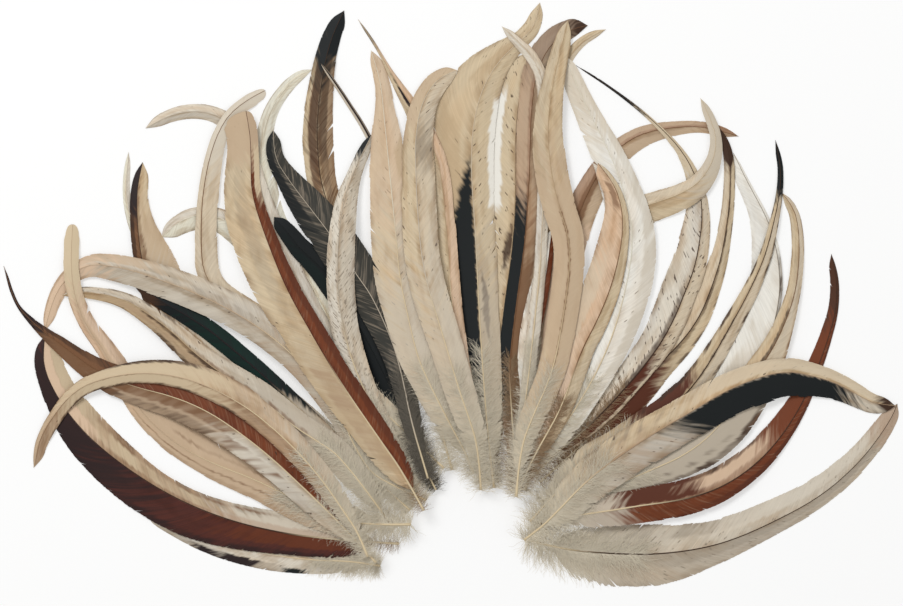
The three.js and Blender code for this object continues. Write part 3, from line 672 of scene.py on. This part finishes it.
def down_part(feather, side, count, rng):
    """Loose downy filaments at the base of one vane, as thin tapering ribbons.

    Each starts on the spine and leaves it at an angle that changes with a steady bend and a slow wave, so
    the path is the running sum of short steps in that direction. Those at the cut quill stand out sideways
    or lean back over it, and further out they lean forwards. Each goes from the shaft to the height of the
    vane's edge and is puffed up in between.
    """
    limit = DOWN_TO * min(count / DOWN_COUNT, 1) ** DOWN_SPARSE
    roots = limit * rng.random(count) ** DOWN_CROWDING
    chance = rng.random(count)
    steps = np.linspace(0, 1, DOWN_STEPS + 1)
    wide = np.linalg.norm((line_at(feather, side, DOWN_TO) - line_at(feather, "under", DOWN_TO))[:2])
    wide *= limit / DOWN_TO
    size = np.clip(DOWN_SPREAD * wide, DOWN_SHORTEST, DOWN_LONGEST) * rng.uniform(*DOWN_SIZES, count)
    size *= DOWN_BUTT + (1 - DOWN_BUTT) * np.minimum(roots / DOWN_TO * 4, 1)
    start = line_at(feather, "under", roots)
    crown = line_at(feather, "crown", roots)
    rim = line_at(feather, side, np.maximum(roots, DOWN_TO / 2))
    ahead = line_at(feather, "under", roots + 0.01) - line_at(feather, "under", roots - 0.01)
    course = np.arctan2(ahead[:, 1], ahead[:, 0])
    opening = np.radians(rng.normal(DOWN_ANGLE - DOWN_LEAN * np.sqrt(roots / DOWN_TO), DOWN_SCATTER))
    bend = np.radians(rng.normal(*DOWN_BEND, count))
    wave = np.radians(rng.uniform(*DOWN_WAVE, count))[:, None]
    phase = rng.uniform(0, 2 * math.pi, count)[:, None]
    pace = rng.uniform(*DOWN_PACE, count)[:, None]
    swing = opening[:, None] + bend[:, None] * steps + wave * np.sin(2 * math.pi * pace * steps + phase)
    facing = course[:, None] + side * swing
    stride = (size / DOWN_STEPS)[:, None]
    moved = np.stack([np.cos(facing), np.sin(facing)], -1) * stride[..., None]
    path = np.cumsum(moved, axis=1) - moved + start[:, None, :2]
    begin = (start[:, 2] + crown[:, 2]) / 2
    puff = rng.uniform(*DOWN_PUFFS, count)[:, None] * DOWN_PUFF * np.sin(math.pi * steps) + DOWN_LIFT
    height = begin[:, None] + (rim[:, 2] - begin)[:, None] * steps + puff
    half = DOWN_WIDTH / 2 * (1 - DOWN_TAPER * steps)
    normal = np.stack([-np.sin(facing), np.cos(facing)], -1) * half[None, :, None]
    places = np.empty((count, DOWN_STEPS + 1, 2, 3))
    places[:, :, 0, :2] = path - normal
    places[:, :, 1, :2] = path + normal
    places[..., 2] = np.maximum(height, DOWN_LOWEST)[:, :, None]
    return ribbons_part(
        DOWN_KIND,
        places,
        DOWN_ROW[side],
        DOWN_ROWS,
        along=roots[:, None, None],
        across=side * steps[:, None],
        root=roots[:, None, None],
        chance=chance[:, None, None],
    )


def feather_mesh(name, parts):
    """One mesh of a feather's parts, with their own coordinates as attributes and one map for its finish."""
    counts = [len(part["places"]) for part in parts]
    firsts = np.concatenate([[0], np.cumsum(counts)[:-1]])
    places = np.concatenate([part["places"] for part in parts]).astype(np.float32)
    quads = np.concatenate([part["quads"] + first for part, first in zip(parts, firsts)]).astype(np.int32)
    mesh = bpy.data.meshes.new(name)
    mesh.vertices.add(len(places))
    mesh.vertices.foreach_set("co", places.ravel())
    mesh.loops.add(quads.size)
    mesh.loops.foreach_set("vertex_index", quads.ravel())
    mesh.polygons.add(len(quads))
    mesh.polygons.foreach_set("loop_start", np.arange(0, quads.size, 4, dtype=np.int32))
    mesh.polygons.foreach_set("use_smooth", np.ones(len(quads), bool))
    for key in ("along", "across", "root", "chance", "kind"):
        values = np.concatenate([part[key] for part in parts]).astype(np.float32)
        mesh.attributes.new(key, "FLOAT", "POINT").data.foreach_set("value", values)
    layout = np.concatenate([part["map"] for part in parts])[quads.ravel()].astype(np.float32)
    mesh.uv_layers.new(name="OFBake").data.foreach_set("uv", layout.ravel())
    mesh.update(calc_edges=True)
    return mesh


class Graph:
    """Adds shader nodes to one tree and joins them. A value is a socket to link or a plain setting."""

    def __init__(self, tree):
        self.tree = tree

    def feed(self, socket, value):
        if isinstance(value, bpy.types.NodeSocket):
            self.tree.links.new(value, socket)
        else:
            socket.default_value = value

    def node(self, kind, inputs=None, **settings):
        made = self.tree.nodes.new(kind)
        for name, value in settings.items():
            setattr(made, name, value)
        for name, value in (inputs or {}).items():
            self.feed(made.inputs[name], value)
        return made

    def math(self, operation, *values, **settings):
        inputs = dict(enumerate(values))
        return self.node("ShaderNodeMath", inputs, operation=operation, **settings).outputs[0]

    def rise(self, value, low, high):
        inputs = {"Value": value, "From Min": low, "From Max": high}
        return self.node("ShaderNodeMapRange", inputs, interpolation_type="SMOOTHSTEP").outputs[0]

    def mix(self, share, first, second, blend="MIX"):
        inputs = {0: share, 6: first, 7: second}
        return self.node("ShaderNodeMix", inputs, data_type="RGBA", blend_type=blend).outputs[2]

    def vector(self, *values):
        return self.node("ShaderNodeCombineXYZ", dict(enumerate(values))).outputs[0]

    def shaded(self, colour, shade):
        return self.mix(1.0, colour, self.vector(shade, shade, shade), "MULTIPLY")

    def noise(self, place, detail):
        inputs = {"Vector": place, "Scale": 1.0, "Detail": detail}
        return self.node("ShaderNodeTexNoise", inputs).outputs["Fac"]

    def attribute(self, name):
        return self.node("ShaderNodeAttribute", attribute_name=name).outputs["Fac"]

    def group(self, tree, inputs):
        return self.node("ShaderNodeGroup", inputs, node_tree=tree).outputs


def new_group(name, colours=(), values=(), **outputs):
    """An empty shader group that takes colours and values; returns its tree, graph, inputs and outputs."""
    tree = bpy.data.node_groups.new(name, "ShaderNodeTree")
    for socket in colours:
        tree.interface.new_socket(socket, in_out="INPUT", socket_type="NodeSocketColor")
    for socket in values:
        tree.interface.new_socket(socket, in_out="INPUT", socket_type="NodeSocketFloat")
    for socket, kind in outputs.items():
        tree.interface.new_socket(socket, in_out="OUTPUT", socket_type="NodeSocket" + kind)
    graph = Graph(tree)
    entry = graph.node("NodeGroupInput").outputs
    leave = graph.node("NodeGroupOutput").inputs
    return tree, graph, entry, leave


def place_group():
    """Where a point is on its feather, and the noise that breaks up colours along its barbs."""
    names = ("Along", "Across", "Reach", "Kind", "Fray", "Cloud", "Drift", "Blot", "Grain", "Streak", "Speck")
    tree, graph, entry, leave = new_group("FeatherPlace", values=["Seed"], **dict.fromkeys(names, "Float"))
    along = graph.attribute("along")
    across = graph.attribute("across")
    root = graph.attribute("root")
    reach = graph.math("ABSOLUTE", across)
    seed = entry["Seed"]
    sided = graph.math("MULTIPLY_ADD", graph.math("SIGN", across), SIDE_STEP, seed)

    def noise(lengthways, sideways, depth, per_length, per_width, detail):
        cells = (graph.math("MULTIPLY", lengthways, per_length), graph.math("MULTIPLY", sideways, per_width))
        return graph.noise(graph.vector(*cells, depth), detail)

    def barb_noise(scales):
        return noise(root, reach, sided, *scales)

    def vane_noise(scales):
        return noise(along, across, seed, *scales)

    ribs = graph.math("MULTIPLY", barb_noise(GRAIN_NOISE), 0.9)
    found = {
        "Along": along,
        "Across": across,
        "Reach": reach,
        "Kind": graph.attribute("kind"),
        "Fray": graph.math("MULTIPLY_ADD", barb_noise(FRAY_NOISE), 4.0, -2.0),
        "Cloud": vane_noise(CLOUD_NOISE),
        "Drift": vane_noise(DRIFT_NOISE),
        "Blot": barb_noise(BLOT_NOISE),
        "Grain": graph.math("MULTIPLY_ADD", graph.attribute("chance"), 0.4, ribs),
        "Streak": barb_noise(STREAK_NOISE),
        "Speck": barb_noise(SPECK_NOISE),
    }
    for name, value in found.items():
        graph.feed(leave[name], value)
    return tree


def ground_group():
    """Colour of the two vanes, with clouds, rims and roots darkened partly by stains and partly by painted
    shade, stripes and each barb's own tone.
    """
    tree, graph, entry, leave = new_group(
        "FeatherGround",
        colours=("Left", "Right", "Stripe"),
        values=("Stripes", "Mottle", "Across", "Reach", "Cloud", "Drift", "Blot", "Grain", "Streak"),
        Color="Color",
    )

    def tint(colour, share, stain_and_shade):
        amount = graph.math("MULTIPLY", share, entry["Mottle"])
        return graph.mix(amount, colour, graph.mix(1.0, colour, stain_and_shade, "MULTIPLY"))

    vanes = graph.mix(graph.rise(entry["Across"], -0.03, 0.03), entry["Right"], entry["Left"])
    vanes = tint(vanes, graph.rise(entry["Drift"], 0.5, 0.68), COOL_STAIN)
    vanes = tint(vanes, graph.rise(entry["Drift"], 0.48, 0.3), WARM_STAIN)
    vanes = tint(vanes, graph.rise(entry["Cloud"], 0.45, 0.68), CLOUD_STAIN)
    blots = graph.rise(entry["Blot"], 0.38, 0.64)
    # painted shadow along the rims, over their own darker tint, where the blots fall
    rim = graph.math("MULTIPLY", graph.rise(entry["Reach"], 0.74, 1.0), blots)
    vanes = tint(vanes, rim, RIM_STAIN_AND_SHADOW)
    bare = graph.math("SUBTRACT", 1.0, blots)
    # painted shade beside the shaft, over a real tint, away from the blots
    root = graph.math("MULTIPLY", graph.rise(entry["Reach"], 0.3, 0.02), bare)
    vanes = tint(vanes, root, ROOT_STAIN_AND_SHADE)
    streaks = graph.math("MULTIPLY", graph.rise(entry["Streak"], 0.48, 0.74), entry["Stripes"])
    vanes = graph.mix(streaks, vanes, entry["Stripe"])
    shade = graph.math("MULTIPLY_ADD", entry["Grain"], 0.26, 0.83)
    graph.feed(leave["Color"], graph.shaded(vanes, shade))
    return tree


def patch_group():
    """Lays one marking over a colour; its limits are frayed along the barbs."""
    limits = ("Start", "End", "Inner", "Outer", "Side", "Soft", "Cover", "Slant", "Broken")
    tree, graph, entry, leave = new_group(
        "FeatherPatch",
        colours=("Color", "Paint"),
        values=("Along", "Across", "Reach", "Fray", "Blot") + limits,
        Color="Color",
    )

    def between(value, low, high, soft):
        rise = graph.rise(value, graph.math("SUBTRACT", low, soft), graph.math("ADD", low, soft))
        fall = graph.rise(value, graph.math("SUBTRACT", high, soft), graph.math("ADD", high, soft))
        return graph.math("SUBTRACT", rise, fall)

    soft = entry["Soft"]
    along = graph.math("MULTIPLY_ADD", entry["Fray"], graph.math("MULTIPLY", soft, 0.9), entry["Along"])
    along = graph.math("MULTIPLY_ADD", entry["Reach"], entry["Slant"], along)
    reach = graph.math("MULTIPLY_ADD", entry["Fray"], SIDEWAYS_SOFT, entry["Reach"])
    lengthways = between(along, entry["Start"], entry["End"], soft)
    sideways = between(reach, entry["Inner"], entry["Outer"], SIDEWAYS_SOFT)
    other = graph.math("MULTIPLY", graph.math("MULTIPLY", entry["Across"], entry["Side"]), 40.0)
    facing = graph.math("ADD", other, 1.0, use_clamp=True)
    mask = graph.math("MULTIPLY", graph.math("MULTIPLY", lengthways, sideways), facing)
    gaps = graph.math("MULTIPLY", graph.rise(entry["Blot"], 0.64, 0.36), entry["Broken"])
    mask = graph.math("MULTIPLY", mask, graph.math("SUBTRACT", entry["Cover"], gaps), use_clamp=True)
    graph.feed(leave["Color"], graph.mix(mask, entry["Color"], entry["Paint"]))
    return tree


def specks_group():
    """Short dark dashes along the barbs, more of them with a larger amount."""
    tree, graph, entry, leave = new_group(
        "FeatherSpecks", colours=("Color", "Ink"), values=("Speck", "Amount"), Color="Color"
    )
    low = graph.math("MULTIPLY_ADD", entry["Amount"], -0.2, 0.82)
    mask = graph.rise(entry["Speck"], low, graph.math("ADD", low, 0.05))
    graph.feed(leave["Color"], graph.mix(graph.math("MULTIPLY", mask, 0.85), entry["Color"], entry["Ink"]))
    return tree


def parts_group():
    """Puts the shaft's and the down's own colours in place of the vane's."""
    tree, graph, entry, leave = new_group(
        "FeatherParts",
        colours=("Color", "Quill", "Shaft", "Down"),
        values=("Turn", "Bloom", "Along", "Kind", "Grain"),
        Color="Color",
    )
    early = graph.math("SUBTRACT", entry["Turn"], 0.08)
    late = graph.math("ADD", entry["Turn"], 0.08)
    shaft = graph.mix(graph.rise(entry["Along"], early, late), entry["Quill"], entry["Shaft"])
    down = graph.shaded(entry["Down"], graph.math("MULTIPLY_ADD", entry["Grain"], 0.34, 0.76))
    bloom = graph.rise(entry["Along"], entry["Bloom"], graph.math("MULTIPLY", entry["Bloom"], 0.35))
    vane = graph.mix(graph.math("MULTIPLY", bloom, 0.75), entry["Color"], down)
    colour = graph.mix(graph.rise(entry["Kind"], SHAFT_KIND - 0.6, SHAFT_KIND - 0.4), vane, shaft)
    colour = graph.mix(graph.rise(entry["Kind"], DOWN_KIND - 0.6, DOWN_KIND - 0.4), colour, down)
    graph.feed(leave["Color"], colour)
    return tree


def relief_group():
    """Fine ribs along the barbs, as a normal."""
    tree, graph, entry, leave = new_group("FeatherRelief", values=["Grain"], Normal="Vector")
    bump = graph.node("ShaderNodeBump", {"Strength": 0.2, "Distance": 0.1 * MM, "Height": entry["Grain"]})
    graph.feed(leave["Normal"], bump.outputs["Normal"])
    return tree


GROUPS = {
    "place": place_group(),
    "ground": ground_group(),
    "patch": patch_group(),
    "specks": specks_group(),
    "parts": parts_group(),
    "relief": relief_group(),
}


def feather_material(name, look, seed):
    """A feather's finish: ground, specks and markings on the vanes, then shaft and down."""
    material = bpy.data.materials.new(name)
    material.use_nodes = True
    material.node_tree.nodes.clear()
    graph = Graph(material.node_tree)
    place = graph.group(GROUPS["place"], {"Seed": seed})

    def lay(group, names, settings):
        inputs = {key: place[key] for key in names}
        return graph.group(GROUPS[group], {**inputs, **settings})

    colour = lay(
        "ground",
        ("Across", "Reach", "Cloud", "Drift", "Blot", "Grain", "Streak"),
        {
            "Left": PALETTE[look.left],
            "Right": PALETTE[look.right],
            "Stripe": PALETTE[look.stripe],
            "Stripes": look.stripes,
            "Mottle": look.mottle,
        },
    )["Color"]
    dashes = {"Color": colour, "Ink": PALETTE[look.speck], "Amount": look.specks}
    colour = lay("specks", ["Speck"], dashes)["Color"]
    for marking in look.patches:
        spot = ("Along", "Across", "Reach", "Fray", "Blot")
        colour = lay("patch", spot, {"Color": colour, **marking})["Color"]
    colour = lay(
        "parts",
        ("Along", "Kind", "Grain"),
        {
            "Color": colour,
            "Quill": PALETTE["quill"],
            "Shaft": PALETTE[look.shaft],
            "Down": PALETTE[look.down],
            "Turn": look.turn,
            "Bloom": look.bloom,
        },
    )["Color"]
    shader = graph.node(
        "ShaderNodeBsdfPrincipled",
        {
            "Base Color": colour,
            "Normal": lay("relief", ["Grain"], {})["Normal"],
            "Roughness": look.rough,
            "Specular IOR Level": 0.2,
            "Sheen Weight": 0.05,
            "Sheen Roughness": 0.4,
        },
    )
    graph.node("ShaderNodeOutputMaterial", {"Surface": shader.outputs["BSDF"]})
    return material


for number, (kind, look) in enumerate(LOOKS.items()):
    name = kind + "_feather"
    rng = np.random.default_rng(FIRST_SEED + number)
    feather = read_feather(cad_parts[name])
    parts = [vane_part(feather, side, look.rounded, look.spread, rng) for side in (LEFT, RIGHT)]
    parts += [shaft_part(feather)]
    filaments = int(DOWN_COUNT * look.fluff)
    parts += [down_part(feather, side, filaments, rng) for side in (LEFT, RIGHT)]
    mesh = feather_mesh(name + "_dressed", parts)
    mesh.materials.append(feather_material(name, look, NOISE_STEP * number))
    piece = bpy.data.objects.new(name + "_dressed", mesh)
    bpy.context.scene.collection.objects.link(piece)
    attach(piece, "root")
    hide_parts(name)


# Stage: white table, soft light, camera straight above
PHOTO_CENTRE = np.array([0.06, -3.935]) * MM
PHOTO_WIDTH = 451.5 * MM
CAMERA_HEIGHT = 2.2
FEATHER_LEVEL = 4.0 * MM
TABLE_LEVEL = -0.2 * MM
TABLE_HALF = 3
SENSOR = 36.0

scene = bpy.context.scene
scene.view_settings.view_transform = "Standard"

table = bpy.data.meshes.new("table")
corners = [(x * TABLE_HALF, y * TABLE_HALF, TABLE_LEVEL) for x, y in ((-1, -1), (1, -1), (1, 1), (-1, 1))]
table.from_pydata(corners, [], [(0, 1, 2, 3)])
white = bpy.data.materials.new("table_white")
white.use_nodes = True
finish = white.node_tree.nodes["Principled BSDF"].inputs
finish["Base Color"].default_value = (0.55, 0.55, 0.55, 1)
finish["Roughness"].default_value = 0.8
finish["Specular IOR Level"].default_value = 0.1
finish["Emission Color"].default_value = (1, 1, 0.99, 1)
finish["Emission Strength"].default_value = 0.42
table.materials.append(white)
floor = bpy.data.objects.new("table", table)
scene.collection.objects.link(floor)

world = bpy.data.worlds.new("studio")
world.use_nodes = True
sky = world.node_tree.nodes["Background"].inputs
sky["Color"].default_value = (1, 1, 1, 1)
sky["Strength"].default_value = 0.52
scene.world = world


def area_light(name, place, size, watts):
    """A square soft light that faces the fan's middle."""
    data = bpy.data.lights.new(name, "AREA")
    data.size = size
    data.energy = watts
    light = bpy.data.objects.new(name, data)
    light.location = place
    light.rotation_euler = light.location.to_track_quat("Z", "Y").to_euler()
    scene.collection.objects.link(light)


area_light("key", place=(-0.9, 1.1, 1.9), size=0.9, watts=29)
area_light("fill", place=(1.2, -0.4, 2.2), size=1.6, watts=8)

lens = bpy.data.cameras.new("camera")
lens.sensor_width = SENSOR
lens.lens = SENSOR * (CAMERA_HEIGHT - FEATHER_LEVEL) / PHOTO_WIDTH
camera = bpy.data.objects.new("camera", lens)
camera.location = (PHOTO_CENTRE[0], PHOTO_CENTRE[1], CAMERA_HEIGHT)
scene.collection.objects.link(camera)
scene.camera = camera
